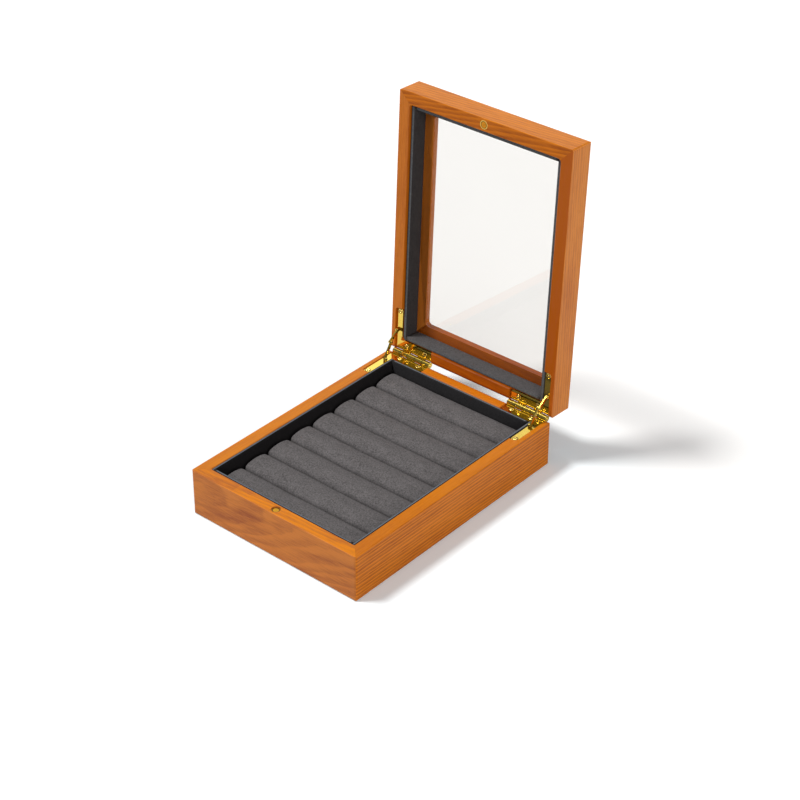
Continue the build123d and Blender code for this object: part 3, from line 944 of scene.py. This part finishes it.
def make_floor():
    """White to the camera, a little less by gloss or through glass, and grey where it bounces.

    Beside the box it is cooler, against the warm light that the wood throws on it.
    """
    mesh = bmesh.new()
    bmesh.ops.create_grid(mesh, x_segments=1, y_segments=1, size=FLOOR_HALF)
    bmesh.ops.translate(mesh, verts=mesh.verts, vec=(0, 0, -FLOOR_DROP))
    material, g = new_material("floor_white")
    path = g.add("ShaderNodeLightPath").node.outputs
    plain = g.add("ShaderNodeBsdfDiffuse", {"Color": FLOOR_BOUNCE})
    behind = g.add("ShaderNodeBsdfDiffuse", {"Color": FLOOR_SEEN_AGAIN})
    x, y, _ = g.parts(g.place())
    past_side = g.math("SUBTRACT", g.math("ABSOLUTE", x), cad_high.x / MM)
    past_front = g.math("SUBTRACT", g.math("ABSOLUTE", y), -cad_low.y / MM)
    beside = g.ramp(g.math("MAXIMUM", past_side, past_front), 0.0, BESIDE_MM, 1.0, 0.0)
    lit = g.blend(beside, FLOOR_LIT, FLOOR_BESIDE)
    shown = g.add("ShaderNodeBsdfDiffuse", {"Color": lit})
    glow = g.add("ShaderNodeEmission", {"Color": WHITE, "Strength": FLOOR_GLOW})
    lifted = g.add("ShaderNodeAddShader", {0: shown, 1: glow})
    again = g.math("MAXIMUM", path["Is Glossy Ray"], path["Is Transmission Ray"])
    again = seen_again(g, path, again)
    mixed = g.add("ShaderNodeMixShader", {0: again, 1: plain, 2: behind})
    mixed = g.add("ShaderNodeMixShader", {0: path["Is Camera Ray"], 1: mixed, 2: lifted})
    g.add("ShaderNodeOutputMaterial", {"Surface": mixed})
    mesh_object("floor", mesh, material, smooth=False)


def add_sun(name, towards, share, width, tone):
    """A sun that lights a surface facing it to the given share of plain level."""
    data = bpy.data.lights.new(name, "SUN")
    data.energy = share * math.pi
    data.angle = math.radians(width)
    data.color = tone
    lamp = bpy.data.objects.new(name, data)
    lamp.rotation_euler = towards.to_track_quat("Z", "Y").to_euler()
    bpy.context.scene.collection.objects.link(lamp)


def make_world():
    """White behind everything, with one bright side for gloss and a dim rest that shapes metal."""
    world = bpy.data.worlds.new("studio")
    bpy.context.scene.world = world
    world.use_nodes = True
    g = Graph(world.node_tree)
    path = g.add("ShaderNodeLightPath").node.outputs
    through = seen_again(g, path, path["Is Transmission Ray"])
    direct = g.math("MAXIMUM", path["Is Camera Ray"], through)
    towards = g.add("ShaderNodeTexCoord", output="Generated")
    side = g.dot(towards, BRIGHT_SIDE)
    rise = g.parts(towards)[2]
    under_top = g.ramp(rise, *BAND_TOP_EDGE, 1, 0)
    band = g.math("MULTIPLY", g.ramp(side, *BAND_SIDE_EDGE), under_top)
    overhead = g.ramp(rise, *OVERHEAD_EDGE)
    level = g.math("MULTIPLY_ADD", g.math("ADD", band, overhead), BRIGHT_GLOSS, DIM_GLOSS)
    glossy = g.add("ShaderNodeBackground", {"Color": WHITE, "Strength": level})
    ambient = g.add("ShaderNodeBackground", {"Color": WHITE, "Strength": AMBIENT})
    white = g.add("ShaderNodeBackground", {"Color": WHITE, "Strength": 1.0})
    lit = g.add("ShaderNodeMixShader", {0: path["Is Glossy Ray"], 1: ambient, 2: glossy})
    mixed = g.add("ShaderNodeMixShader", {0: direct, 1: lit, 2: white})
    g.add("ShaderNodeOutputWorld", {"Surface": mixed})


# Put it together

ROLL_COUNT = 8
ROLL_TONE = colour(98, 95, 96)
ROLL_MOTTLE = 2.5
LINER_MOTTLE = 1.5
# Tones of the painted highlight along the folded edges of the base's and the lid's lining, with the
# direction that each edge faces.
BASE_EDGE_HIGHLIGHT = (colour(104, 109, 116), UP)
LID_EDGE_HIGHLIGHT = (colour(96, 99, 103), LID_UP)
# The lining is one cloth, given a tone for each strip to match how brightly it is lit, so these
# tones hold painted light and shade: the base's strips are painted darker than the lid's, the left
# strips darkest, and the lid's back strip, which faces up in the open lid, lightest.
LINER_LIT_AND_SHADED_TONES = {
    "front": (colour(46, 44, 45), colour(66, 64, 64)),
    "back": (colour(44, 43, 45), colour(83, 81, 82)),
    "left": (colour(27, 25, 26), colour(58, 55, 55)),
    "right": (colour(46, 44, 45), colour(66, 64, 64)),
}
GOLDS = {
    "polished_gold": dict(tone=(0.94, 0.68, 0.13, 1.0), roughness=0.06, brushing=0.05),
    "screw_gold": dict(tone=(0.88, 0.64, 0.18, 1.0), roughness=0.10, brushing=0.08),
    # The screws under the domed heads are painted near black, as the shade round each head.
    "seat_painted_shade": dict(tone=(0.20, 0.13, 0.04, 1.0), roughness=0.35, brushing=0.1),
}
GILT_PIECES = (
    "hinge_base_leaf", "hinge_lid_leaf", "hinge_pin", "stay_lower_link", "stay_upper_link",
    "stay_base_rivet", "stay_lid_rivet", "stay_knee_rivet", "stay_knee_tail",
)
PANEL_TONE = colour(178, 128, 84)
BED_TONE = colour(70, 66, 64)
BOARD_SPECK = 0.3
MAGNET_RING_MM = 2.35
# Each magnet's plating tone and its rim tone: a painted highlight round the lid's magnet, painted
# shade round the base's.
MAGNET_TONES_WITH_PAINTED_RIMS = {
    "base_magnet": (colour(214, 158, 32), colour(170, 118, 28)),
    "lid_magnet": (colour(218, 144, 32), colour(238, 196, 96)),
}


def add_rolls():
    cloth = suede_material("roll_suede", ROLL_TONE, ROLL_MOTTLE)
    for index in range(1, ROLL_COUNT + 1):
        add_roll(index, cloth)


def add_lining():
    for place, (base_painted_tone, lid_painted_tone) in LINER_LIT_AND_SHADED_TONES.items():
        base_cloth = suede_material(f"base_{place}_suede", base_painted_tone, LINER_MOTTLE, BASE_EDGE_HIGHLIGHT)
        lid_cloth = suede_material(f"lid_{place}_suede", lid_painted_tone, LINER_MOTTLE, LID_EDGE_HIGHLIGHT)
        add_liner(f"base_{place}_liner", SHUT, base_cloth, **BASE_LINER)
        add_liner(f"lid_{place}_liner", OPENED, lid_cloth, **LID_LINER)


def finish_metal():
    gold, head_gold, seat_painted_shade = (brass_material(name, **metal) for name, metal in GOLDS.items())
    for side in SIDES:
        for piece in GILT_PIECES:
            paint(nodes[f"{side}_{piece}"], gold)
        for closed, body, outward in ((SHUT, "base", 1), (OPENED, "lid", -1)):
            screws = f"{side}_hinge_{body}_screws"
            # The screws themselves show only as a ring round each domed head, painted dark as
            # shade.
            paint(nodes[screws], seat_painted_shade)
            add_screw_heads(screws, closed, outward, head_gold)
    for magnet, (tone, rim_highlight_and_shade) in MAGNET_TONES_WITH_PAINTED_RIMS.items():
        low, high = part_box(magnet)
        centre = (low + high) / 2
        plating = magnet_material(f"{magnet}_gold", centre, tone, rim_highlight_and_shade, MAGNET_RING_MM)
        paint(nodes[magnet], plating)


def finish_glass():
    """A clear pane that shadow rays and bounced light pass straight through."""
    pane = nodes["lid_glass_pane"]
    paint(pane, glass_material("clear_glass"))
    pane.visible_shadow = False
    pane.visible_diffuse = False


def finish_boards():
    paint(nodes["base_bottom_panel"], board_material("panel_board", PANEL_TONE, BOARD_SPECK))
    paint(nodes["roll_board"], board_material("bed_board", BED_TONE, BOARD_SPECK))


make_camera()
finish_wood()
add_rolls()
add_lining()
finish_metal()
finish_glass()
finish_boards()
make_floor()
make_world()
for name, sun in SUNS.items():
    add_sun(name, **sun)
bpy.context.scene.view_settings.view_transform = "Standard"
